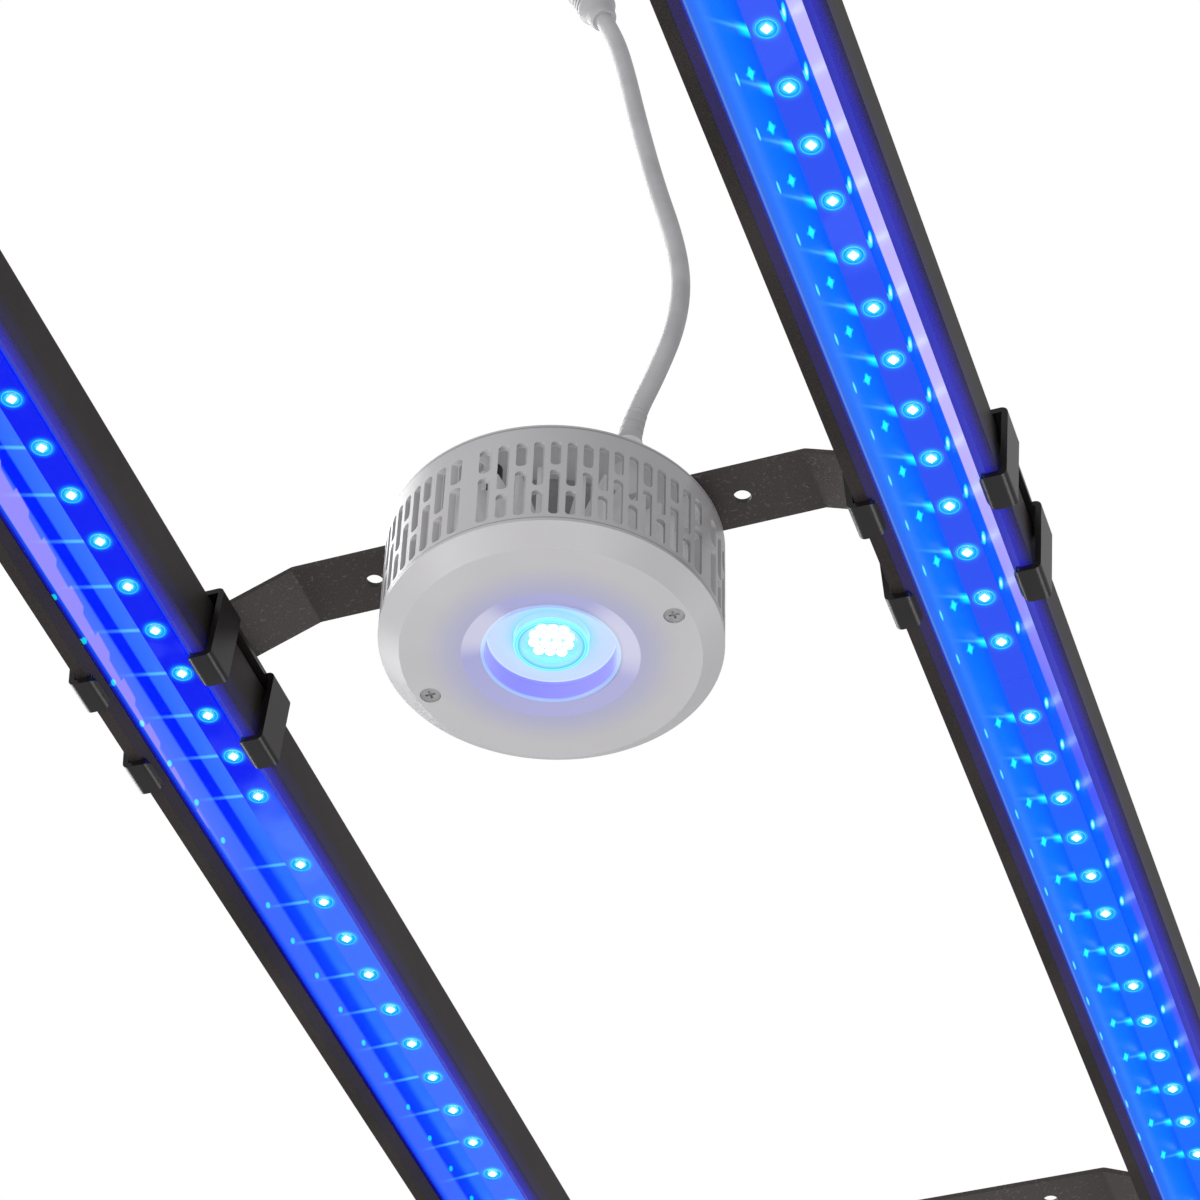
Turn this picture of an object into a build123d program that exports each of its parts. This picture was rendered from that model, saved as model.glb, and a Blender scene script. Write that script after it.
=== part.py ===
from build123d import *
import os
from math import atan2, cos, degrees, hypot, radians, sin, tan

# LED aquarium light: two long LED bars side by side, carried by two cross brackets with spring clips,
# and a round spot lamp that hangs from a threaded stud under the front bracket.
# Millimetres, +Z up. X runs across the bars and Y along them, with the spot lamp at the -Y end.
# The origin is the middle of the four hanging holes, on the top face of the bracket straps.
# Light leaves the fixture downwards, so its LEDs, windows and lens all face -Z.

# ---- driving dimensions -------------------------------------------------------------------------
BRACKET_SPACING = 408.0      # between the two straps, along Y
HOLE_SPACING = 127.0         # between the two hanging holes of one strap, along X
HANGING_HOLE = 5.8           # diameter
STRAP_WIDTH, STRAP_THICK = 25.4, 2.0
STRAP_BEND_X = 88.0          # where the flat middle of a strap turns down
STRAP_SLOPE = 23.0           # degrees below level between the bend and the foot
STRAP_END_X = 147.0

BAR_X = 130.4                # bar centre lines
BAR_LENGTH = 939.8           # over the end caps
BAR_MIDDLE = {"left": 27.5, "right": 29.9}    # Y of each bar's middle as it sits in the clips
BAR_HALF = 22.5              # half the housing's width
LED_Z = -24.5                # face of the bars' circuit boards
BAR_TOP = LED_Z + 3.0
BAR_BOTTOM = LED_Z - 21.3
WALL = 2.0
CAP_THICK, GASKET_THICK = 3.0, 0.8
CAP_SCREW_X, CAP_SCREW_Z = 17.8, LED_Z - 1.4
INLET_Z = LED_Z - 8.5        # power inlet in the rear cap

BOARDS, LEDS_PER_BOARD = 3, 13
BOARD_MODULE, LED_PITCH = 295.9, 21.5
BOARD_HALF, BOARD_THICK = 5.0, 1.0
LED_RADIUS, LED_HEIGHT = 3.3, 3.0

CLIP_THICK = 2.0
CLIP_ARM_WIDTH, CLIP_ARM_OFFSET = 14.0, 21.0  # four hooked arms, in pairs before and behind the strap
CLIP_TIP_X = 15.9            # how far in the hooks reach, from the bar's centre line
CLIP_STUD_X, CLIP_STUD_Y = 8.5, 7.0           # clinch studs from the bar's centre line and the strap's

LAMP_Y = -BRACKET_SPACING / 2
LAMP_TURN = -9.0             # degrees, where the first solid rib of the slotted case stands
LAMP_R, LAMP_INNER = 55.0, 53.0
LAMP_TOP = -4.5              # upper face of the lid
LAMP_RIM = -5.9              # top of the lid's rim
LID_SEAM, BEZEL_SEAM = -7.3, -47.6
BEZEL_EDGE, LAMP_FACE = -48.9, -54.2
SLOT_TOP, SLOT_BOTTOM = -13.8, -46.0
SLOT_SHORT, SLOT_BRIDGE = 10.5, 2.1
SLOT_WIDTH, SLOT_PITCH, SLOT_COLUMNS = 3.2, 5.0, 15
BORE_R = 20.9                # light opening in the bezel
LENS_R = 12.0
BEZEL_SCREW_R, BEZEL_SCREW_ANGLE = 43.2, -7.5
SINK_BASE, SINK_TOP, SINK_R, FINS = -40.5, -15.0, 45.3, 40
STUD_R = 4.0

LID_SCREW_R = 49.6
DIAL_R, DIAL_ANGLES = 38.5, {"colour": 75.0, "dimmer": 105.0}
JACK_R, JACK_ANGLE = 41.0, -100.0

CORD_DIAMETER = 6.6
CORD_Y = LAMP_Y - 27.0
# The cord's bends, X and Z, from the gland up to the plug; it stays in the plane Y = CORD_Y.
CORD_ROUTE = [
    (33.8, 4.5), (35.4, 16.5), (43.0, 35.5), (49.3, 55.5), (51.3, 77.5), (48.5, 100.5),
    (41.0, 133.5), (34.2, 170.0), (28.9, 202.0), (24.6, 222.0), (20.2, 234.5),
]

SIDES = {"left": -1, "right": 1}
ENDS = {"front": -1, "rear": 1}


# ---- small shape builders -----------------------------------------------------------------------
def section(points, y_from, y_to, x=0.0):
    """A closed outline of (X, Z) points carried along Y."""
    face = Plane.XZ.offset(-y_from) * make_face(Polyline(*points, close=True))
    return Pos(x, 0, 0) * extrude(face, amount=-(y_to - y_from))


def turned(points, x=0.0, y=0.0):
    """A closed outline of (radius, Z) points turned about a vertical axis."""
    return Pos(x, y, 0) * revolve(Plane.XZ * make_face(Polyline(*points, close=True)), Axis.Z)


def post(radius, z_from, z_to, x=0.0, y=0.0):
    """An upright cylinder."""
    return Pos(x, y, z_from) * extrude(Circle(radius), amount=z_to - z_from)


def ring(inner, outer, z_from, z_to, x=0.0, y=0.0):
    """An upright tube."""
    return post(outer, z_from, z_to, x, y) - post(inner, z_from, z_to, x, y)


def cap_down(radius, z_base, depth):
    """A shallow dome below z_base: the part of a ball that stands out of a circle of this radius."""
    ball = (radius**2 + depth**2) / (2 * depth)
    below = Pos(0, 0, z_base - depth) * Box(4 * radius, 4 * radius, 2 * depth)
    return Pos(0, 0, z_base - depth + ball) * Sphere(ball) & below


def hex_nut(across_flats, bore, z_from, z_to, x=0.0, y=0.0):
    """A hexagon nut with its axis upright."""
    blank = Pos(x, y, z_from) * extrude(RegularPolygon(across_flats / 2, 6, major_radius=False), z_to - z_from)
    return blank - post(bore, z_from, z_to, x, y)


def polar(radius, angle, y_middle=LAMP_Y):
    """X and Y of a point round the spot lamp's axis."""
    return radius * cos(radians(angle)), y_middle + radius * sin(radians(angle))


def group(shapes):
    """Separate solids kept together as one node."""
    return Compound(children=[solid for shape in shapes for solid in shape.solids()])


# ---- brackets: straps and bar clips -------------------------------------------------------------
CLIP_TOP = BAR_TOP + 0.6 + CLIP_THICK         # the clip's plate clears the bar by 0.6


def strap_path():
    """Centre line of a strap in X and Z, left foot to right foot."""
    drop = (-STRAP_THICK) - CLIP_TOP
    foot_x = STRAP_BEND_X + drop / tan(radians(STRAP_SLOPE))
    middle, foot = -STRAP_THICK / 2, CLIP_TOP + STRAP_THICK / 2
    half = [(STRAP_BEND_X, middle), (foot_x, foot), (STRAP_END_X, foot)]
    return [(-x, z) for x, z in reversed(half)] + half


def bent_strip(points, bend_radius, y_from, y_to, thick):
    """Sheet metal of one thickness folded along a line of (X, Z) points."""
    line = FilletPolyline(*points, radius=bend_radius)
    face = Plane.XZ.offset(-y_from) * trace(line, line_width=thick)
    return extrude(face, amount=-(y_to - y_from))


def strap(y, has_lamp):
    """A powder-coated strap with its hanging holes, a centre hole and two stud holes in each foot."""
    body = bent_strip(strap_path(), 3.0, y - STRAP_WIDTH / 2, y + STRAP_WIDTH / 2, STRAP_THICK)
    corners = [e for e in body.edges().filter_by(Axis.Z) if abs(e.center().X) > STRAP_END_X - 1]
    body = fillet(corners, 5.0)
    for side in SIDES.values():
        body -= post(HANGING_HOLE / 2, -5, 2, side * HOLE_SPACING / 2, y)
        for stud in (-1, 1):
            hole_x = side * (BAR_X + CLIP_STUD_X)
            body -= post(2.1, CLIP_TOP - 1, CLIP_TOP + 5, hole_x, y + stud * CLIP_STUD_Y)
    return body - post(STUD_R + (0.06 if has_lamp else 0.25), -5, 2, 0, y)


def rounding_cutter(x, y, x_way, y_way, radius=3.0):
    """What is cut away to round an upright corner at (x, y), below the clip's plate."""
    corner = Pos(x + x_way * radius / 2, y + y_way * radius / 2, BAR_BOTTOM) * Box(radius, radius, 10)
    return corner - post(radius, BAR_BOTTOM - 6, BAR_BOTTOM + 6, x + x_way * radius, y + y_way * radius)


def clip(side, y):
    """A spring clip: one formed plate over the bar with four arms that hook under its lips."""
    hook = [
        (CLIP_TIP_X + 0.7, BAR_BOTTOM + 0.05), (17.9, BAR_BOTTOM - 1.4),
        (24.0, BAR_BOTTOM - 1.4), (25.9, CLIP_TOP - CLIP_THICK / 2),
    ]
    path = hook + [(-u, z) for u, z in reversed(hook)]
    plate = Pos(0, y, CLIP_TOP - CLIP_THICK / 2) * Box(48, 56, CLIP_THICK)
    body = plate
    for pair in (-1, 1):
        middle = y + pair * CLIP_ARM_OFFSET
        arm = bent_strip(path, 1.3, middle - CLIP_ARM_WIDTH / 2, middle + CLIP_ARM_WIDTH / 2, CLIP_THICK)
        for u in (-CLIP_TIP_X, CLIP_TIP_X):
            for edge in (-1, 1):
                arm -= rounding_cutter(u, middle + edge * CLIP_ARM_WIDTH / 2, 1 if u > 0 else -1, -edge)
        body += arm
    body = Pos(side * BAR_X, 0, 0) * body
    for stud in (-1, 1):
        hole_x = side * BAR_X + side * CLIP_STUD_X
        body -= post(2.1, CLIP_TOP - 3, CLIP_TOP + 1, hole_x, y + stud * CLIP_STUD_Y)
    return body


def clip_fasteners():
    """Clinch studs pressed into the clip plates, and the nuts that hold the strap feet down on them."""
    studs, nuts = [], []
    for end in ENDS.values():
        for side in SIDES.values():
            for step in (-1, 1):
                x = side * (BAR_X + CLIP_STUD_X)
                y = end * BRACKET_SPACING / 2 + step * CLIP_STUD_Y
                studs.append(post(2.0, CLIP_TOP - CLIP_THICK, CLIP_TOP + 8.0, x, y))
                seat = CLIP_TOP + STRAP_THICK
                nuts.append(hex_nut(7.0, 2.0, seat + 0.8, seat + 4.0, x, y) + ring(2.15, 4.5, seat, seat + 0.8, x, y))
    return group(studs), group(nuts)


# ---- LED bars -----------------------------------------------------------------------------------
REFLECTOR_THICK = 0.6
WINDOW_BOTTOM, WINDOW_THICK, WINDOW_HALF = LED_Z - 17.6, 1.5, 18.2


def bar_span(side, inset):
    """Y range of a bar, shortened by the same amount at both ends."""
    half = BAR_LENGTH / 2 - inset
    return BAR_MIDDLE[side] - half, BAR_MIDDLE[side] + half


def bar_x(side):
    return SIDES[side] * BAR_X


def bar_outline():
    """The bar's outer section as a face: flat top with rounded corners, straight sides, square bottom."""
    tall = BAR_TOP - BAR_BOTTOM
    face = Pos(0, BAR_BOTTOM + tall / 2) * Rectangle(2 * BAR_HALF, tall)
    return fillet(face.vertices().group_by(Axis.Y)[-1], 3.0)


def bar_housing(side):
    """An extruded channel: inward lips with a bevelled mouth, a window groove and two screw ports."""
    lip = BAR_BOTTOM + 3.5
    inner = BAR_HALF - WALL
    half = [(18.5, BAR_BOTTOM), (15.6, lip - 0.4), (15.6, lip), (inner, lip), (inner, BAR_TOP - 1.4)]
    hollow = make_face(Polyline(*half, *[(-u, z) for u, z in reversed(half)], close=True))
    ports = [Pos(u, CAP_SCREW_Z) * Circle(3.2) for u in (-CAP_SCREW_X, CAP_SCREW_X)]
    bores = [Pos(u, CAP_SCREW_Z) * Circle(1.5) for u in (-CAP_SCREW_X, CAP_SCREW_X)]
    face = bar_outline() - hollow
    for port, bore in zip(ports, bores):
        face = face + (port & bar_outline()) - bore
    y_from, y_to = bar_span(side, CAP_THICK + GASKET_THICK)
    return Pos(bar_x(side), 0, 0) * extrude(Plane.XZ.offset(-y_from) * face, amount=-(y_to - y_from))


def bar_reflector(side):
    """A folded sheet: a narrow flat seat for the circuit boards and two polished sloping wings."""
    seat = BOARD_HALF + 0.5
    top, wing_z = LED_Z + BOARD_THICK, WINDOW_BOTTOM + WINDOW_THICK + 0.1
    half = [(seat, top), (15.6, wing_z), (15.6 + 0.75, wing_z), (seat + 0.4, top + REFLECTOR_THICK)]
    outline = half + [(-u, z) for u, z in reversed(half)]
    y_from, y_to = bar_span(side, CAP_THICK + GASKET_THICK + 0.5)
    return section(outline, y_from, y_to, bar_x(side))


def bar_boards(side):
    """Three circuit boards end to end, one LED module each."""
    boards = []
    for step in range(BOARDS):
        middle = BAR_MIDDLE[side] + (step - (BOARDS - 1) / 2) * BOARD_MODULE
        boards.append(Pos(bar_x(side), middle, LED_Z + BOARD_THICK / 2) * Box(
            2 * BOARD_HALF, BOARD_MODULE - 0.6, BOARD_THICK))
    return group(boards)


def led_places(side):
    """Y of every LED along a bar."""
    places = []
    for board in range(BOARDS):
        middle = BAR_MIDDLE[side] + (board - (BOARDS - 1) / 2) * BOARD_MODULE
        places += [middle + (n - (LEDS_PER_BOARD - 1) / 2) * LED_PITCH for n in range(LEDS_PER_BOARD)]
    return places


def bar_leds(side):
    """One round LED with a domed lens per place, facing down from the board."""
    led = post(LED_RADIUS, -1.0, 0) + cap_down(LED_RADIUS, -1.0, LED_HEIGHT - 1.0)
    return group([Pos(bar_x(side), y, LED_Z) * led for y in led_places(side)])


def bar_window(side):
    """The clear strip that closes the channel, resting on the lips."""
    y_from, y_to = bar_span(side, CAP_THICK + GASKET_THICK + 0.2)
    return Pos(bar_x(side), (y_from + y_to) / 2, WINDOW_BOTTOM + WINDOW_THICK / 2) * Box(
        2 * WINDOW_HALF, y_to - y_from, WINDOW_THICK)


def end_plate(side, end, inset, thick):
    """A plate of the bar's outline at one end, with its screw holes."""
    y_from, y_to = bar_span(side, inset)
    start = y_from if end < 0 else y_to - thick
    face = bar_outline()
    for u in (-CAP_SCREW_X, CAP_SCREW_X):
        face -= Pos(u, CAP_SCREW_Z) * Circle(1.7)
    return Pos(bar_x(side), 0, 0) * extrude(Plane.XZ.offset(-start) * face, amount=-thick)


def along_y(radius, y_from, y_to, x, z):
    """A cylinder lying along Y."""
    return Pos(x, 0, z) * extrude(Plane.XZ.offset(-y_from) * Circle(radius), amount=-(y_to - y_from))


def bar_cap(side, end_name):
    """An end cap; the rear one also has the hole for the power inlet."""
    end = ENDS[end_name]
    cap = end_plate(side, end, 0.0, CAP_THICK)
    outer_face = cap.faces().sort_by(Axis.Y)[0 if end < 0 else -1]
    cap = chamfer(outer_face.outer_wire().edges(), 0.5)
    if end_name == "rear":
        y_to = bar_span(side, 0.0)[1]
        cap -= along_y(6.1, y_to - 5, y_to + 1, bar_x(side), INLET_Z)
    return cap


def bar_gaskets(side):
    """A soft seal behind each end cap."""
    gaskets = []
    for end in ENDS.values():
        gasket = end_plate(side, end, CAP_THICK, GASKET_THICK)
        if end > 0:
            y_to = bar_span(side, CAP_THICK)[1]
            gasket -= along_y(6.4, y_to - 2, y_to + 1, bar_x(side), INLET_Z)
        gaskets.append(gasket)
    return group(gaskets)


def bar_cap_screws(side):
    """Two pan-head screws through each end cap into the screw ports."""
    screws = []
    for end in ENDS.values():
        face_y = bar_span(side, 0.0)[end > 0]
        for u in (-CAP_SCREW_X, CAP_SCREW_X):
            x = bar_x(side) + u
            inner_y, head_y = face_y - end * 11.0, face_y + end * 1.8
            shank = along_y(1.45, min(inner_y, face_y), max(inner_y, face_y), x, CAP_SCREW_Z)
            head = along_y(2.9, min(face_y, head_y), max(face_y, head_y), x, CAP_SCREW_Z)
            cross = Pos(x, head_y, CAP_SCREW_Z)
            recess = cross * Box(0.7, 1.6, 3.2) + cross * Box(3.2, 1.6, 0.7)
            screws.append(shank + head - recess)
    return group(screws)


def bar_inlet(side):
    """A round threaded power inlet in the rear cap with a flange outside, and its nut inside."""
    y_to = bar_span(side, 0.0)[1]
    x = bar_x(side)
    body = along_y(6.0, y_to - 12.0, y_to + 9.0, x, INLET_Z) + along_y(8.0, y_to, y_to + 2.0, x, INLET_Z)
    body -= along_y(4.4, y_to - 4.0, y_to + 10.0, x, INLET_Z)
    body += along_y(1.0, y_to - 6.0, y_to + 7.0, x, INLET_Z)
    nut_from = y_to - CAP_THICK - GASKET_THICK - 3.0
    nut = along_y(7.0, nut_from, nut_from + 2.4, x, INLET_Z) - along_y(6.02, nut_from, nut_from + 2.4, x, INLET_Z)
    return body, nut


# ---- spot lamp ----------------------------------------------------------------------------------
def lamp_case():
    """The slotted side wall, with four inner screw bosses behind its solid ribs."""
    wall = ring(LAMP_INNER, LAMP_R, BEZEL_SEAM, LID_SEAM)
    inside = post(LAMP_INNER + 0.5, -60, 0)
    for quarter in range(4):
        angle = radians(LAMP_TURN + 90 * quarter)
        boss_x, boss_y = LID_SCREW_R * cos(angle), LID_SCREW_R * sin(angle)
        wall += post(3.4, LID_SEAM - 14.0, LID_SEAM, boss_x, boss_y) & inside
        wall -= post(1.25, LID_SEAM - 12.0, LID_SEAM, boss_x, boss_y)
    slots = Sketch()
    for column in range(SLOT_COLUMNS):
        u = (column - (SLOT_COLUMNS - 1) / 2) * SLOT_PITCH
        long_part = SLOT_TOP - SLOT_BOTTOM - SLOT_SHORT - SLOT_BRIDGE
        upper = SLOT_SHORT if column % 2 == 0 else long_part
        split = SLOT_TOP - upper
        for top, bottom in ((SLOT_TOP, split), (split - SLOT_BRIDGE, SLOT_BOTTOM)):
            slots += Pos(u, (top + bottom) / 2) * RectangleRounded(SLOT_WIDTH, top - bottom, 1.4)
    cutter = extrude(Plane.XZ.offset(30) * slots, amount=30)
    for quarter in range(4):
        wall -= Rot(0, 0, LAMP_TURN + 45 + 90 + 90 * quarter) * cutter
    return Pos(0, LAMP_Y, 0) * wall


def lamp_lid():
    """The flat lid with its stepped rim, a spigot inside the case, and holes for everything on top."""
    lid = turned([
        (0, LAMP_TOP), (50.8, LAMP_TOP), (52.2, LAMP_RIM), (54.6, LAMP_RIM), (LAMP_R, LAMP_RIM - 0.4),
        (LAMP_R, LID_SEAM), (0, LID_SEAM),
    ], 0, LAMP_Y)
    lid -= post(STUD_R + 0.02, -10, 0, 0, LAMP_Y)
    lid -= post(4.82, -10, 0, CORD_ROUTE[0][0], CORD_Y)
    for angle in DIAL_ANGLES.values():
        lid -= post(3.62, -10, 0, *polar(DIAL_R, angle))
    lid -= post(3.52, -10, 0, *polar(JACK_R, JACK_ANGLE))
    for quarter in range(4):
        x, y = polar(LID_SCREW_R, LAMP_TURN + 90 * quarter)
        lid -= post(1.6, -10, 0, x, y) + post(2.9, LAMP_TOP - 1.7, 0, x, y)
    return lid


def lid_screws():
    """Four screws sunk in the lid, into the case's bosses."""
    screws = []
    for quarter in range(4):
        x, y = polar(LID_SCREW_R, LAMP_TURN + 90 * quarter)
        head = post(2.8, LAMP_TOP - 1.65, LAMP_TOP - 0.2, x, y)
        shank = post(1.2, LID_SEAM - 8.0, LAMP_TOP - 1.65, x, y)
        screws.append(head + shank - Pos(x, y, LAMP_TOP - 0.2) * Box(3.6, 0.7, 1.4))
    return group(screws)


def bezel():
    """The bottom cover: a bevelled edge, a flat face, and a bevelled mouth that leads to the light bore."""
    mouth = LAMP_FACE + 1.2
    body = turned([
        (LAMP_R, BEZEL_SEAM), (LAMP_R, BEZEL_EDGE), (48.0, LAMP_FACE), (28.3, LAMP_FACE),
        (22.5, mouth), (22.2, mouth - 0.4), (21.3, mouth - 0.4), (BORE_R, mouth), (BORE_R, -44.0),
        (23.0, -44.0), (23.0, LAMP_FACE + 2.8), (46.9, LAMP_FACE + 2.8), (51.5, BEZEL_SEAM - 0.3),
        (51.5, BEZEL_SEAM + 1.5), (52.8, BEZEL_SEAM + 1.5), (52.8, BEZEL_SEAM),
    ], 0, LAMP_Y)
    for turn in (0, 180):
        x, y = polar(BEZEL_SCREW_R, BEZEL_SCREW_ANGLE + turn)
        body -= post(1.7, LAMP_FACE - 1, LAMP_FACE + 6, x, y) + post(3.4, LAMP_FACE - 1, LAMP_FACE + 1.9, x, y)
    return body


def bezel_screws():
    """Two screws in the bottom cover, up into the heat sink's posts."""
    screws = []
    for turn in (0, 180):
        x, y = polar(BEZEL_SCREW_R, BEZEL_SCREW_ANGLE + turn)
        head = post(3.3, LAMP_FACE + 0.4, LAMP_FACE + 1.9, x, y)
        shank = post(1.4, LAMP_FACE + 1.9, LAMP_FACE + 10.0, x, y)
        socket = Pos(x, y, LAMP_FACE + 0.4) * Box(3.4, 0.8, 1.4) + Pos(x, y, LAMP_FACE + 0.4) * Box(0.8, 3.4, 1.4)
        screws.append(head + shank - socket)
    return group(screws)


def heat_sink():
    """A cast base disc with a core for the stud, upright radial fins, and two posts for the bezel screws."""
    sink = post(SINK_R, SINK_BASE, SINK_BASE + 4.0) + post(12.0, SINK_BASE, SINK_TOP)
    fin = Pos((10 + SINK_R) / 2, 0, (SINK_BASE + SINK_TOP) / 2) * Box(SINK_R - 10 - 0.3, 1.2, SINK_TOP - SINK_BASE)
    fins = [Rot(0, 0, 360 / FINS * n + 4.5) * fin for n in range(FINS)]
    sink = sink + fins
    sink = Pos(0, LAMP_Y, 0) * sink
    for turn in (0, 180):
        x, y = polar(BEZEL_SCREW_R, BEZEL_SCREW_ANGLE + turn)
        sink += post(3.5, LAMP_FACE + 2.8, SINK_BASE + 4.0, x, y)
        sink -= post(1.42, LAMP_FACE + 2.8, SINK_BASE, x, y)
    for quarter in range(4):
        sink -= post(4.0, -25.0, SINK_TOP + 1, *polar(LID_SCREW_R, LAMP_TURN + 90 * quarter))
    return sink - post(STUD_R, SINK_BASE + 8.0, SINK_TOP, 0, LAMP_Y)


def light_engine():
    """The LED carrier board, its cluster of chips, the light plate round the lens, and the domed lens."""
    carrier = post(17.0, SINK_BASE - 1.6, SINK_BASE, 0, LAMP_Y)
    chip_z = SINK_BASE - 1.6 - 0.5
    rows = {-4.6: 3, -1.6: 4, 1.6: 4, 4.6: 3}
    chips = [
        Pos((n - (count - 1) / 2) * 3.0, LAMP_Y + row, chip_z) * Box(2.2, 2.2, 1.0)
        for row, count in rows.items() for n in range(count)
    ]
    plate = ring(LENS_R + 0.1, BORE_R - 0.15, -46.0, -44.8, 0, LAMP_Y)
    back, front = -43.8, -49.9
    lens = turned([
        (0, back), (LENS_R, back), (LENS_R, front + 0.5), (LENS_R - 0.5, front),
        (10.5, front), (10.2, front + 0.6), (0, front + 0.6),
    ])
    lens = Pos(0, LAMP_Y, 0) * (lens + cap_down(9.6, front + 0.6, 2.3))
    return carrier, group(chips), plate, lens


def driver_board():
    """The round control board under the lid and the taller components it carries."""
    board = ring(6.0, 36.0, -12.6, -11.0, 0, LAMP_Y)
    for angle in DIAL_ANGLES.values():
        board -= post(7.5, -13, -10, *polar(DIAL_R, angle))
    board -= post(7.0, -13, -10, CORD_ROUTE[0][0], CORD_Y)
    capacitors = [post(3.0, -11.0, -7.8, x, LAMP_Y + y) for x, y in ((-14, 8), (-14, -8), (-22, 0))]
    coil = Pos(14, LAMP_Y + 4, -9.5) * Box(9, 9, 3.0)
    regulator = Pos(2, LAMP_Y - 16, -10.0) * Box(7, 5, 2.0)
    return board, group(capacitors + [coil, regulator])


def dial(angle):
    """A fluted knob on its shaft, and the potentiometer that holds the shaft under the lid."""
    x, y = polar(DIAL_R, angle)
    outline = Circle(6.4)
    for n in range(18):
        outline -= Pos(6.6 * cos(radians(20 * n)), 6.6 * sin(radians(20 * n))) * Circle(0.55)
    knob = Pos(x, y, LAMP_TOP + 0.4) * extrude(outline, amount=8.6) + post(5.4, 4.5, 5.5, x, y)
    knob -= Pos(x, y + 3.2, 5.5) * Box(0.9, 3.6, 1.0)
    knob -= post(2.0, LAMP_TOP, 2.5, x, y)
    shaft = post(2.0, -13.0, 2.5, x, y)
    pot = Pos(x, y, -11.0) * Box(10.0, 10.0, 6.0) + post(3.6, -8.0, LAMP_TOP, x, y)
    pot = pot - post(2.06, -13.2, 0, x, y)
    return knob, shaft, pot


def control_jack():
    """A small round socket in the lid for a dimming lead."""
    x, y = polar(JACK_R, JACK_ANGLE)
    return post(3.5, -14.5, LAMP_TOP, x, y) + post(4.4, LAMP_TOP, LAMP_TOP + 1.5, x, y) - post(1.8, -13.0, 0, x, y)


def stud_parts():
    """The hanging stud from the heat sink through the strap, with its spacer, washer and lock nut."""
    stud = post(STUD_R, SINK_BASE + 8.0, 11.0, 0, LAMP_Y)
    spacer = ring(STUD_R + 0.06, 9.0, LAMP_TOP + 0.3, -STRAP_THICK, 0, LAMP_Y)
    washer = ring(STUD_R + 0.02, 8.0, 0.3, 1.9, 0, LAMP_Y)
    nut = hex_nut(13.0, STUD_R, 1.9, 8.4, 0, LAMP_Y)
    return stud, spacer, washer, nut


def cord_gland():
    """A round gland nut with a tapering throat where the cord leaves the lid."""
    x, start = CORD_ROUTE[0]
    gland = turned([
        (0, -13.0), (4.8, -13.0), (4.8, LAMP_TOP), (6.3, LAMP_TOP), (6.3, 0.6), (4.6, start), (0, start),
    ], x, CORD_Y)
    for n in range(12):
        flute = radians(30 * n)
        gland -= post(0.7, LAMP_TOP + 0.8, start, x + 6.6 * cos(flute), CORD_Y + 6.6 * sin(flute))
    return gland


# ---- cord and plug ------------------------------------------------------------------------------
def cord():
    """The cord as one tube along straight runs joined by tangent bends; prints the bend radii."""
    runs = list(zip(CORD_ROUTE, CORD_ROUTE[1:]))
    lengths = [hypot(b[0] - a[0], b[1] - a[1]) for a, b in runs]
    heads = [degrees(atan2(b[0] - a[0], b[1] - a[1])) for a, b in runs]
    radii = [
        0.45 * min(lengths[n], lengths[n + 1]) / tan(radians(abs(heads[n + 1] - heads[n]) / 2))
        for n in range(len(runs) - 1)
    ]
    print("cord runs", [round(v, 1) for v in lengths], "radii", [round(r) for r in radii])
    points = [(x, CORD_Y, z) for x, z in CORD_ROUTE]
    path = FilletPolyline(*points, radius=radii)
    print("cord length", round(path.length, 1))
    start = Plane(origin=points[0], z_dir=Vector(*points[1]) - Vector(*points[0]))
    return sweep(start * Circle(CORD_DIAMETER / 2), path)


def plug_frame():
    """The plug's own plane: its origin where the cord ends and +Z along the cord's last run."""
    (x0, z0), (x1, z1) = CORD_ROUTE[-2:]
    return Plane(origin=(x1, CORD_Y, z1), x_dir=(0, 1, 0), z_dir=(x1 - x0, 0, z1 - z0))


def plug_parts():
    """A ribbed strain-relief boot, the moulded plug body, its three pins, and the knurled coupling nut."""
    boot = turned([(0, 0), (4.4, 0), (4.9, 1.2), (5.4, 5.0), (7.0, 9.0), (7.0, 23.0), (0, 23.0)])
    for level in (10.5, 12.9, 15.3, 17.7, 20.1):
        boot -= ring(6.5, 8.0, level, level + 1.0)
    body = turned([(0, 23.0), (7.0, 23.0), (7.6, 24.0), (7.6, 32.0), (6.2, 32.0), (6.2, 42.0), (0, 42.0)])
    contacts = [post(0.8, 42.0, 48.0, 2.4 * cos(radians(a)), 2.4 * sin(radians(a))) for a in (90, 210, 330)]
    nut = ring(6.26, 9.0, 32.4, 43.0) + ring(7.4, 9.0, 43.0, 47.0)
    for n in range(24):
        nut -= post(0.6, 33.4, 46.0, 9.1 * cos(radians(15 * n)), 9.1 * sin(radians(15 * n)))
    place = plug_frame().location
    return place * boot, place * body, place * group(contacts), place * nut


# ---- assembly -----------------------------------------------------------------------------------
def bar_nodes(side):
    """Every node of one LED bar."""
    inlet, inlet_nut = bar_inlet(side)
    return {
        f"{side}_bar_housing": bar_housing(side),
        f"{side}_bar_reflector": bar_reflector(side),
        f"{side}_led_boards": bar_boards(side),
        f"{side}_leds": bar_leds(side),
        f"{side}_bar_window": bar_window(side),
        f"{side}_front_cap": bar_cap(side, "front"),
        f"{side}_rear_cap": bar_cap(side, "rear"),
        f"{side}_cap_gaskets": bar_gaskets(side),
        f"{side}_cap_screws": bar_cap_screws(side),
        f"{side}_power_inlet": inlet,
        f"{side}_inlet_nut": inlet_nut,
    }


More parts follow.
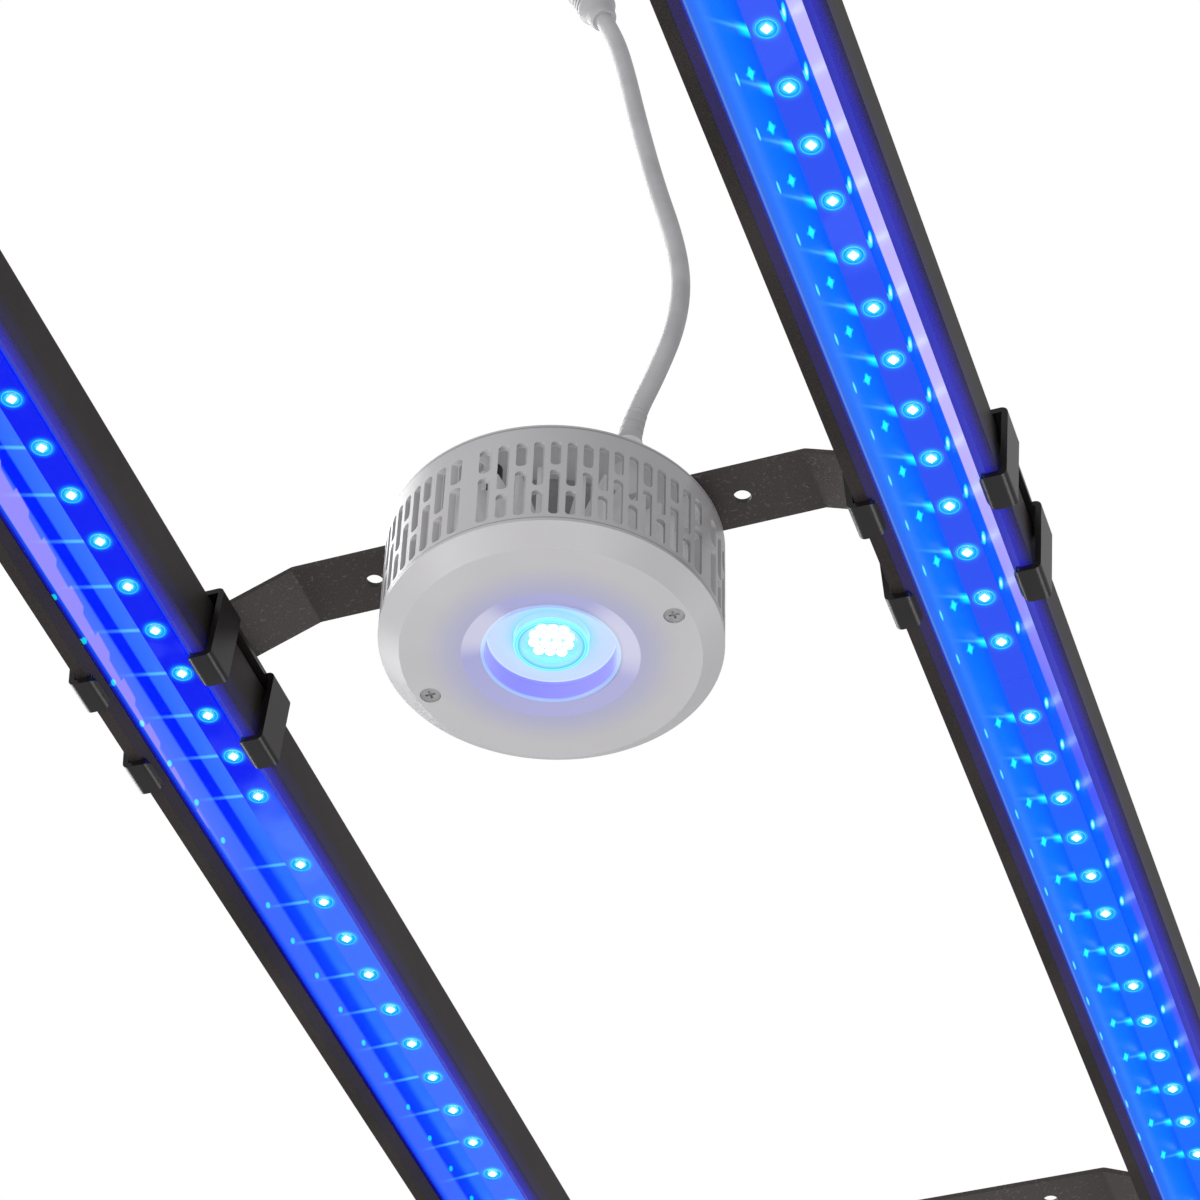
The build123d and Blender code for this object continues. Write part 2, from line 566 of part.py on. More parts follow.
def bracket_nodes():
    """Straps, clips and their fasteners."""
    nodes = {}
    for end_name, end in ENDS.items():
        y = end * BRACKET_SPACING / 2
        nodes[f"{end_name}_strap"] = strap(y, has_lamp=end < 0)
        for side_name, side in SIDES.items():
            nodes[f"{end_name}_{side_name}_clip"] = clip(side, y)
    nodes["clip_studs"], nodes["clip_nuts"] = clip_fasteners()
    return nodes


def lamp_nodes():
    """The spot lamp with its cord and plug."""
    carrier, chips, plate, lens = light_engine()
    board, components = driver_board()
    stud, spacer, washer, nut = stud_parts()
    boot, plug, contacts, coupling = plug_parts()
    nodes = {
        "lamp_case": lamp_case(), "lamp_lid": lamp_lid(), "lid_screws": lid_screws(),
        "bezel": bezel(), "bezel_screws": bezel_screws(), "heat_sink": heat_sink(),
        "led_carrier": carrier, "led_cluster": chips, "light_plate": plate, "dome_lens": lens,
        "driver_board": board, "driver_components": components, "control_jack": control_jack(),
        "hanging_stud": stud, "stud_spacer": spacer, "stud_washer": washer, "stud_nut": nut,
        "cord_gland": cord_gland(), "lamp_cord": cord(), "plug_boot": boot, "plug_body": plug,
        "plug_contacts": contacts, "coupling_nut": coupling,
    }
    for name, angle in DIAL_ANGLES.items():
        nodes[f"{name}_knob"], nodes[f"{name}_shaft"], nodes[f"{name}_potentiometer"] = dial(angle)
    return nodes


nodes = {**bar_nodes("left"), **bar_nodes("right"), **bracket_nodes(), **lamp_nodes()}
os.makedirs("parts", exist_ok=True)
for name, shape in nodes.items():
    export_step(shape, f"parts/{name}.step")
print(len(nodes), "nodes")
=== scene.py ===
import bmesh
import bpy
import numpy as np
from mathutils import Euler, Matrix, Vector


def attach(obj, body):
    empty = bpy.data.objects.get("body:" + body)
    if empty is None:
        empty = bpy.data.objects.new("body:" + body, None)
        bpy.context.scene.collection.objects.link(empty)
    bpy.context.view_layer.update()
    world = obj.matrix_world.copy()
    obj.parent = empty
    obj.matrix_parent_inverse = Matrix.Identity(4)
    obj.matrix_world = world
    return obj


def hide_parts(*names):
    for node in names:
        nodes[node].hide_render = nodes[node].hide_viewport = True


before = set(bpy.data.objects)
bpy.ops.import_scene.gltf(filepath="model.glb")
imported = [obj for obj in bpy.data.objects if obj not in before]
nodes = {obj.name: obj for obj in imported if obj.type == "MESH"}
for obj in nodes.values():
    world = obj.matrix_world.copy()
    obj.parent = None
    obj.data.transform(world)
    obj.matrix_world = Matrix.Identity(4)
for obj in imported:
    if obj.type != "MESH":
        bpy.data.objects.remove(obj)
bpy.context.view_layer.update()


# ---- Camera --------------------------------------------------------------------------------------
# The fitting hangs overhead and is seen from below and in front, with a long lens, so that the two
# bars run away upwards and meet slowly. A small roll leans the picture to one side.
eye = bpy.data.objects.new("eye", bpy.data.cameras.new("eye"))
eye.location = (0.302537, -0.974957, -0.834753)
eye.rotation_euler = Euler(np.radians((134.2425, -1.3682, 19.0613)))
eye.data.lens, eye.data.sensor_width = 108.23, 36.0
eye.data.clip_start, eye.data.clip_end = 0.05, 50.0
bpy.context.scene.collection.objects.link(eye)
bpy.context.scene.camera = eye


# ---- Cord of the spot lamp -----------------------------------------------------------------------
# A round PVC lead, 6.6 mm thick and light grey, stiff enough to stand in one shallow S from the
# gland in the lamp's lid up to its plug. It has a satin skin with a faint orange peel.
class Wire:
    """An output of a node in a material. Sums and products of wires and numbers add Math nodes,
    and node() adds any other kind: its settings are set first, then its sockets."""

    def __init__(self, tree, socket=None):
        self.tree, self.socket = tree, socket

    def feed(self, inlet, value):
        if isinstance(value, Wire):
            self.tree.links.new(value.socket, inlet)
        elif isinstance(value, tuple) and inlet.type == "RGBA":
            inlet.default_value = (*value, 1.0)
        else:
            inlet.default_value = value

    def node(self, kind, settings=(), sockets=(), out=0):
        made = self.tree.nodes.new("ShaderNode" + kind)
        for key, value in dict(settings).items():
            if key == "stops":
                while len(made.color_ramp.elements) < len(value):
                    made.color_ramp.elements.new(1.0)
                for element, (place, colour) in zip(made.color_ramp.elements, value):
                    element.position, element.color = place, (*colour, 1.0)
            else:
                setattr(made, key, value)
        for key, value in dict(sockets).items():
            self.feed(made.inputs[key], value)
        return Wire(self.tree, made.outputs[out])

    def math(self, operation, *values):
        return self.node("Math", {"operation": operation}, dict(enumerate(values)))

    def __add__(self, other):
        return self.math("ADD", self, other)

    def __sub__(self, other):
        return self.math("SUBTRACT", self, other)

    def __rsub__(self, other):
        return self.math("SUBTRACT", other, self)

    def __mul__(self, other):
        return self.math("MULTIPLY", self, other)

    def __truediv__(self, other):
        return self.math("DIVIDE", self, other)

    __radd__, __rmul__ = __add__, __mul__

    def __abs__(self):
        return self.math("ABSOLUTE", self)

    def rise(self, low, high):
        """0 below low and 1 above high, smooth between; low may be the larger."""
        ends = {"Value": self, "From Min": low, "From Max": high}
        return self.node("MapRange", {"interpolation_type": "SMOOTHSTEP"}, ends)

    def between(self, colour, other):
        """The first colour where this wire is 0 and the other where it is 1."""
        return self.node("Mix", {"data_type": "RGBA"}, {0: self, 6: colour, 7: other}, 2)

    def dye(self, colour):
        """The colour times this wire."""
        return self.node("VectorMath", {"operation": "SCALE"}, {0: colour, "Scale": self})

    def plus(self, *colours):
        """This colour with others added to it."""
        total = self
        for colour in colours:
            total = self.node("VectorMath", {"operation": "ADD"}, {0: total, 1: colour})
        return total

    def ramp(self, *stops):
        """The colour at this value among (place, colour) stops."""
        return self.node("ValToRGB", {"stops": stops}, {"Fac": self})

    def noise(self, scale, detail=3.0):
        """A cloud over the object, about 0.5, with lumps of 1 / scale metres."""
        place = self.node("TexCoord", out="Object")
        return self.node("TexNoise", {}, {"Vector": place, "Scale": scale, "Detail": detail})

    def bump(self, height, depth):
        """The surface raised by depth metres where height is 1."""
        return self.node("Bump", {}, {"Height": height, "Strength": 1.0, "Distance": depth})


def new_material(name, **constants):
    """A material, the wire that its nodes are made from and its one Principled shader."""
    material = bpy.data.materials.new(name)
    material.use_nodes = True
    wire, skin = Wire(material.node_tree), material.node_tree.nodes["Principled BSDF"]
    inlets = {inlet.name.lower().replace(" ", "_"): inlet for inlet in skin.inputs}
    for key, value in constants.items():
        wire.feed(inlets[key], value)
    return material, wire, skin.inputs


def coat(material, *names):
    """Gives CAD nodes a better material in place of their plain one."""
    for name in names:
        for seat in nodes[name].material_slots:
            seat.material = material


lead_grey, wire, skin = new_material("lead_grey", ior=1.46)
cloud, grain = wire.noise(70.0), wire.noise(1400.0, 2.0)
wire.feed(skin["Base Color"], cloud.rise(0.3, 0.7).between((0.40, 0.40, 0.41), (0.47, 0.47, 0.475)))
wire.feed(skin["Roughness"], 0.36 + 0.14 * cloud)
wire.feed(skin["Normal"], wire.bump(grain, 0.00006))
coat(lead_grey, "plug_boot", "plug_body", "coupling_nut")

cord_y, cord_radius = -0.231, 0.0033
bends = np.array([
    (0.0338, 0.0045), (0.0354, 0.0165), (0.0430, 0.0355), (0.0493, 0.0555), (0.0513, 0.0775),
    (0.0485, 0.1005), (0.0410, 0.1335), (0.0342, 0.1700), (0.0289, 0.2020), (0.0246, 0.2220),
    (0.0202, 0.2345),
])
route = bpy.data.curves.new("lamp_lead", "CURVE")
route.dimensions = "3D"
run = route.splines.new("NURBS")
run.points.add(len(bends) - 1)
for point, (x, z) in zip(run.points, bends):
    point.co = (x, cord_y, z, 1.0)
run.order_u, run.use_endpoint_u, run.resolution_u = 3, True, 12
lead = bpy.data.objects.new("lamp_lead", route)
bpy.context.scene.collection.objects.link(lead)
centre_line = bpy.data.meshes.new_from_object(lead)
lead_path = np.empty(3 * len(centre_line.vertices))
centre_line.vertices.foreach_get("co", lead_path)
lead_path = lead_path.reshape(-1, 3)
bpy.data.meshes.remove(centre_line)
route.bevel_depth, route.bevel_resolution, route.use_fill_caps = cord_radius, 6, True
route.materials.append(lead_grey)
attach(lead, "spot_lamp")
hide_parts("lamp_cord")


# ---- Strain relief at the lid --------------------------------------------------------------------
# A short soft sleeve moulded on the cord, tapered to its thickness, with a collar at its foot and
# rings cut into it so that it bends evenly.
def joined(rings, places=((0.0, 0.0, 0.0),)):
    """A closed skin through rings of points: each ring is joined to the next, the first and last
    are closed by a point at their middle, and the whole is repeated at each of the places."""
    count, around = rings.shape[:2]
    points = np.vstack([rings.reshape(-1, 3), rings[0].mean(0), rings[-1].mean(0)])
    ring, step = np.meshgrid(np.arange(count - 1), np.arange(around), indexing="ij")
    here, beside = ring * around + step, ring * around + (step + 1) % around
    sides = np.stack([here, beside, beside + around, here + around], -1).reshape(-1, 4)
    edge, after = np.arange(around), (np.arange(around) + 1) % around
    last = (count - 1) * around
    tips = [np.stack([after, edge, np.full(around, len(points) - 2)], -1),
            np.stack([edge + last, after + last, np.full(around, len(points) - 1)], -1)]
    places = np.asarray(places)
    shift = np.arange(len(places)) * len(points)
    faces = []
    for part in (sides, *tips):
        faces += (part[None] + shift[:, None, None]).reshape(-1, part.shape[1]).tolist()
    return (points[None] + places[:, None]).reshape(-1, 3), faces


def add_piece(name, points, faces, material, body, slot, smooth=True):
    """A finished piece from points and faces, turned outwards, on its body."""
    mesh = bpy.data.meshes.new(name)
    mesh.from_pydata(points.tolist(), [], faces)
    shell = bmesh.new()
    shell.from_mesh(mesh)
    bmesh.ops.recalc_face_normals(shell, faces=shell.faces)
    shell.to_mesh(mesh)
    shell.free()
    mesh.polygons.foreach_set("use_smooth", np.full(len(mesh.polygons), smooth))
    mesh.materials.append(material)
    piece = bpy.data.objects.new(name, mesh)
    bpy.context.scene.collection.objects.link(piece)
    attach(piece, body)
    return piece


def sleeve(path, radii, around=32):
    """A round skin along a path in an XZ plane: each point's ring has its radius and stands square
    to the path, (radius cos a) along the path's normal and (radius sin a) along Y."""
    along = np.gradient(path, axis=0)
    along /= np.linalg.norm(along, axis=1)[:, None]
    normal = np.stack([-along[:, 2], 0 * along[:, 0], along[:, 0]], -1)
    angle = np.linspace(0, 2 * np.pi, around, endpoint=False)
    cross = np.cos(angle)[None, :, None] * normal[:, None] + np.sin(angle)[:, None] * (0, 1, 0)
    return path[:, None] + radii[:, None, None] * cross


walked = np.append(0, np.cumsum(np.linalg.norm(np.diff(lead_path, axis=0), axis=1)))
relief_length = 0.014
steps = np.linspace(0.0, relief_length, 81)
on_path = np.stack([np.interp(steps, walked, lead_path[:, k]) for k in range(3)], -1)
taper = 0.0041 - 0.0007 * steps / relief_length
rings_cut = 0.0002 * (np.cos(steps / relief_length * 8 * np.pi) < -0.35) * (steps > 0.003)
collar = 0.0003 * (steps < 0.0022)
relief = add_piece("cord_strain_relief", *joined(sleeve(on_path, taper - rings_cut + collar)),
                   lead_grey, "spot_lamp", "lamp_plastic")


# ---- Studio --------------------------------------------------------------------------------------
# A white room: a pale floor well below the fitting, soft light from all round, one wide soft box
# low on the left and another high beside it.
size = 14.0
corners = size * np.array([(-1, -1, 0), (1, -1, 0), (1, 1, 0), (-1, 1, 0)]) - (0, 0, 2.7)
floor_mesh = bpy.data.meshes.new("floor")
floor_mesh.from_pydata(corners.tolist(), [], [(0, 1, 2, 3)])
floor = bpy.data.objects.new("floor", floor_mesh)
bpy.context.scene.collection.objects.link(floor)
paper, wire, skin = new_material("floor_paper", roughness=0.9, emission_color=(1.0, 1.0, 1.0),
                                 emission_strength=0.05)
wire.feed(skin["Base Color"], wire.noise(1.5).between((0.90, 0.90, 0.90), (0.93, 0.93, 0.93)))
floor_mesh.materials.append(paper)

room = bpy.data.worlds.new("room")
room.use_nodes = True
bpy.context.scene.world = room
air = Wire(room.node_tree)
seen = air.node("LightPath", out="Is Camera Ray")
air.feed(room.node_tree.nodes["Background"].inputs["Color"],
         seen.between((0.55, 0.55, 0.56), (1.0, 1.0, 1.0)))
bpy.context.scene.view_settings.view_transform = "Standard"

for name, place, aim, width, watts in (
    ("low_left", (-1.3, -1.5, -1.1), (0.0, 0.0, 0.0), 1.3, 24.0),
    ("low_front", (0.9, -1.6, -1.7), (0.0, 0.0, 0.0), 1.2, 10.0),
    ("left_side", (-1.7, 1.1, 0.1), (0.0, -0.2, 0.0), 1.2, 22.0),
    ("low_back", (1.1, 1.2, -1.4), (0.0, -0.2, 0.0), 1.0, 12.0),
    ("high_left", (-1.4, 0.5, 1.7), (0.0, 0.0, 0.0), 1.6, 26.0),
):
    lamp = bpy.data.objects.new(name, bpy.data.lights.new(name, "AREA"))
    lamp.data.size, lamp.data.energy = width, watts
    lamp.location = place
    lamp.rotation_mode = "QUATERNION"
    lamp.rotation_quaternion = (Vector(aim) - Vector(place)).to_track_quat("-Z", "Y")
    bpy.context.scene.collection.objects.link(lamp)


# ---- Straps --------------------------------------------------------------------------------------
# Two folded steel straps, cut from 2 mm sheet and powder coated black. The coat is dry and finely
# pebbled, with lighter specks where it flowed thin.
powder, wire, skin = new_material("powder_black", ior=1.5, specular_ior_level=0.3)
pebble, cloud, speck = wire.noise(1900.0, 2.0), wire.noise(14.0), wire.noise(800.0, 1.0)
tone = 0.3 * cloud + 0.7 * pebble
dark = tone.rise(0.3, 0.7).between((0.036, 0.029, 0.027), (0.052, 0.043, 0.040))
wire.feed(skin["Base Color"], speck.rise(0.62, 0.72).between(dark, (0.085, 0.076, 0.070)))
wire.feed(skin["Roughness"], 0.42 + 0.16 * pebble)
wire.feed(skin["Normal"], wire.bump(pebble, 0.00010))
coat(powder, "front_strap", "rear_strap")


# ---- Bar clips -----------------------------------------------------------------------------------
# Four sprung steel clips with a smoother, glossier black coat than the straps, so that their folded
# arms and hooks catch long soft highlights.
clip_black, wire, skin = new_material("clip_black", ior=1.5, specular_ior_level=0.35)
pebble, cloud = wire.noise(1700.0, 2.0), wire.noise(30.0)
wire.feed(skin["Base Color"], cloud.rise(0.3, 0.7).between((0.005, 0.004, 0.004), (0.010, 0.008, 0.008)))
wire.feed(skin["Roughness"], 0.26 + 0.10 * pebble)
wire.feed(skin["Normal"], wire.bump(pebble, 0.00004))
coat(clip_black, "front_left_clip", "front_right_clip", "rear_left_clip", "rear_right_clip")


# ---- Clip studs and nuts -------------------------------------------------------------------------
# Zinc plated steel: clinch studs pressed into the clips, and hexagon nuts on washers over them.
zinc, wire, skin = new_material("zinc_plate", metallic=1.0)
cloud, scratch = wire.noise(220.0), wire.noise(1500.0)
wire.feed(skin["Base Color"], cloud.rise(0.3, 0.7).between((0.50, 0.50, 0.49), (0.66, 0.66, 0.64)))
wire.feed(skin["Roughness"], 0.24 + 0.16 * cloud)
wire.feed(skin["Normal"], wire.bump(scratch, 0.00003))
coat(zinc, "clip_studs", "clip_nuts", "stud_washer", "stud_nut", "lid_screws",
     "left_cap_screws", "right_cap_screws", "left_inlet_nut", "right_inlet_nut",
     "dimmer_shaft", "colour_shaft")


# ---- Bar housings --------------------------------------------------------------------------------
# Extruded aluminium troughs, blasted and anodised black. Fine die lines run along them. The blue
# light from inside that spills over their lips is painted on as a blue glow, most on the side that
# faces the light.
bar_x = {"left": -0.1304, "right": 0.1304}
bar_middle = {"left": 0.0275, "right": 0.0299}


def position(wire):
    """X, Y and Z over the object."""
    place = wire.node("TexCoord", out="Object")
    return [wire.node("SeparateXYZ", {}, {0: place}, k) for k in range(3)]


# near_spill is the colour of the painted blue glow on the bevel nearest the light, per bar.
for side, near_spill in (("left", (0.002, 0.001, 0.012)), ("right", (0.010, 0.007, 0.08))):
    anodised, wire, skin = new_material(side + "_anodised_black", ior=1.5, specular_ior_level=0.15,
                                        emission_strength=1.0)
    stretched = wire.node("Mapping", {}, {"Vector": wire.node("TexCoord", out="Object"),
                                          "Scale": (1.0, 0.02, 1.0)})
    lines = wire.node("TexNoise", {}, {"Vector": stretched, "Scale": 1500.0, "Detail": 2.0})
    pebble, cloud = wire.noise(2200.0, 2.0), wire.noise(25.0)
    tone = 0.4 * cloud + 0.6 * pebble
    wire.feed(skin["Base Color"], tone.rise(0.35, 0.65).between((0.013, 0.010, 0.010), (0.030, 0.024, 0.023)))
    wire.feed(skin["Roughness"], 0.42 + 0.14 * pebble)
    wire.feed(skin["Normal"], wire.bump(0.6 * pebble + 0.4 * lines, 0.00008))
    x, _, z = position(wire)
    across = x - bar_x[side]
    # Painted blue glow from the LEDs, given as emission on the near bevel and the far lip.
    painted_near_glow = (across.rise(-0.0185, -0.0181) * across.rise(-0.0150, -0.0153)
                  * z.rise(-0.0459, -0.0454) * z.rise(-0.0340, -0.0360))
    painted_far_glow = across.rise(0.0150, 0.0153) * across.rise(0.0235, 0.0180) * z.rise(-0.0360, -0.0450)
    wire.feed(skin["Emission Color"], painted_near_glow.dye(near_spill).plus(painted_far_glow.dye((0.006, 0.010, 0.44))))
    coat(anodised, side + "_bar_housing")


# ---- Bar end caps, gaskets and power inlets ------------------------------------------------------
# Caps and inlets are moulded black nylon with a spark-eroded skin. The gaskets between cap and
# housing are grey silicone.
nylon, wire, skin = new_material("nylon_black", ior=1.5)
erode, cloud = wire.noise(1200.0), wire.noise(60.0)
wire.feed(skin["Base Color"], cloud.rise(0.3, 0.7).between((0.018, 0.018, 0.019), (0.032, 0.032, 0.033)))
wire.feed(skin["Roughness"], 0.38 + 0.2 * erode)
wire.feed(skin["Normal"], wire.bump(erode, 0.00009))
coat(nylon, "left_front_cap", "left_rear_cap", "right_front_cap", "right_rear_cap",
     "left_power_inlet", "right_power_inlet", "control_jack", "stud_spacer")
rubber, wire, skin = new_material("silicone_grey", ior=1.41)
cloud = wire.noise(150.0)
wire.feed(skin["Base Color"], cloud.rise(0.3, 0.7).between((0.09, 0.09, 0.095), (0.14, 0.14, 0.145)))
wire.feed(skin["Roughness"], 0.55 + 0.2 * cloud)
coat(rubber, "left_cap_gaskets", "right_cap_gaskets")


# ---- LEDs on their boards ------------------------------------------------------------------------
# Each bar has three boards with 13 LEDs each, 21.5 mm apart: a round clear lens over a square chip
# in a shallow dish. The LEDs' light on the boards is painted as a blue glow between them, with a
# painted halo and a cyan ring round each LED and faint painted reflections in patches.
board_module, pitch, board_face = 0.2959, 0.0215, -0.0245


def from_led(y, middle):
    """Signed distance along the bar from this Y to the nearest LED: the nearest board's middle is
    taken off, then the nearest of its 13 LEDs."""
    wire = y - middle
    on_board = wire - wire.math("ROUND", wire / board_module) * board_module
    number = wire.math("MAXIMUM", wire.math("MINIMUM", wire.math("ROUND", on_board / pitch), 6.0), -6.0)
    return on_board - number * pitch


def round_led(wire, side):
    """Distance from the axis of the nearest LED, and Y."""
    x, y, _ = position(wire)
    across, along = x - bar_x[side], from_led(y, bar_middle[side])
    return wire.math("SQRT", along * along + across * across), y


chip_light, wire, skin = new_material("chip_light", base_color=(0.8, 0.9, 1.0), roughness=0.5,
                                      emission_strength=5.0)
wire.feed(skin["Emission Color"], wire.noise(900.0).between((0.86, 1.0, 1.0), (1.0, 1.0, 1.0)))
lens_clear, wire, skin = new_material("lens_clear", ior=1.45)
rim = wire.node("LayerWeight", {}, {"Blend": 0.35}, "Facing")
through = wire.node("BsdfTransparent", {}, {"Color": (0.80, 0.97, 1.0)})
gloss = Wire(wire.tree, wire.tree.nodes["Principled BSDF"].outputs[0])
wire.feed(skin["Base Color"], (0.05, 0.35, 0.9))
wire.feed(skin["Roughness"], 0.04 + 0.05 * wire.noise(500.0))
mixed = wire.node("MixShader", {}, {0: 0.04 + 0.3 * rim.rise(0.5, 1.0), 1: through, 2: gloss})
wire.feed(wire.tree.nodes["Material Output"].inputs["Surface"], mixed)

angle = np.linspace(0, 2 * np.pi, 24, endpoint=False)
circle = np.stack([np.cos(angle), np.sin(angle), 0 * angle], -1)
profile = ((3.25, 0.35), (3.25, 0.9), (3.0, 1.3), (2.55, 1.9), (1.85, 2.5), (1.0, 2.87))
lens_rings = np.array([r * circle - (0, 0, h) for r, h in profile]) * 0.001
dish_rings = np.array([r * circle - (0, 0, h) for r, h in ((3.3, 0.02), (3.3, 0.34), (2.2, 0.12))]) * 0.001
turn = np.radians(12)
square = 1.55 * np.array([(np.cos(turn + k * np.pi / 2), np.sin(turn + k * np.pi / 2), 0) for k in range(4)])
chip_rings = np.array([s * square - (0, 0, h) for s, h in ((1, 0.12), (1, 0.62), (0.86, 0.72))]) * 0.001

# Colours of the painted board glow towards the spot lamp and towards the rear, where the glow changes tone.
for side, front_blue, rear_blue, change in (
    ("left", (0.001, 0.008, 0.80), (0.055, 0.175, 0.95), (-0.150, -0.105)),
    ("right", (0.028, 0.085, 0.80), (0.006, 0.150, 0.93), (-0.110, -0.010)),
):
    board, wire, skin = new_material(side + "_board_blue", base_color=(0.005, 0.01, 0.12),
                                     specular_ior_level=0.08, emission_strength=1.0)
    # Painted light: the board's emission is the LEDs' blue glow, with a painted halo, a painted cyan ring
    # round each LED and faint painted reflection patches.
    far, y = round_led(wire, side)
    cloud = wire.noise(22.0, 2.0)
    tone = (y + 0.05 * (cloud - 0.5)).rise(*change)
    painted_sheen_patch = cloud.rise(0.60, 0.64) * 0.5
    blue = tone.between(front_blue, rear_blue).plus(painted_sheen_patch.dye((0.03, 0.04, 0.1)))
    halo = far.rise(0.0056, 0.0030)
    painted_ring_glow = far.rise(0.0041, 0.0037) * far.rise(0.0033, 0.0036)
    wire.feed(skin["Emission Color"], blue.plus(halo.dye((0.0, 0.09, 0.1)), painted_ring_glow.dye((0.0, 0.20, 0.2))))
    wire.feed(skin["Roughness"], 0.4 + 0.2 * wire.noise(400.0))
    coat(board, side + "_led_boards")

    dish, wire, skin = new_material(side + "_dish_blue", base_color=(0.02, 0.1, 0.3), roughness=0.3,
                                    emission_strength=1.0)
    far, _ = round_led(wire, side)
    shade = (far / 0.0034).ramp((0.0, (0.6, 1.0, 1.0)), (0.50, (0.10, 0.9, 1.0)), (0.66, (0.0, 0.55, 1.0)),
                                (0.84, (0.0, 0.14, 0.9)), (0.90, (0.02, 0.75, 1.0)), (1.0, (0.1, 0.9, 1.0)))
    wire.feed(skin["Emission Color"], shade)

    number = (np.arange(3)[:, None] - 1) * board_module + (np.arange(13) - 6) * pitch
    spots = np.stack([np.full(39, bar_x[side]), bar_middle[side] + number.ravel(),
                      np.full(39, board_face)], -1)
    body = side + "_bar"
    domes = add_piece(side + "_led_lenses", *joined(lens_rings, spots), lens_clear, body, "led_blue")
    add_piece(side + "_led_dishes", *joined(dish_rings, spots), dish, body, "led_blue", smooth=False)
    add_piece(side + "_led_chips", *joined(chip_rings, spots), chip_light, body, "led_blue", smooth=False)
    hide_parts(side + "_leds")


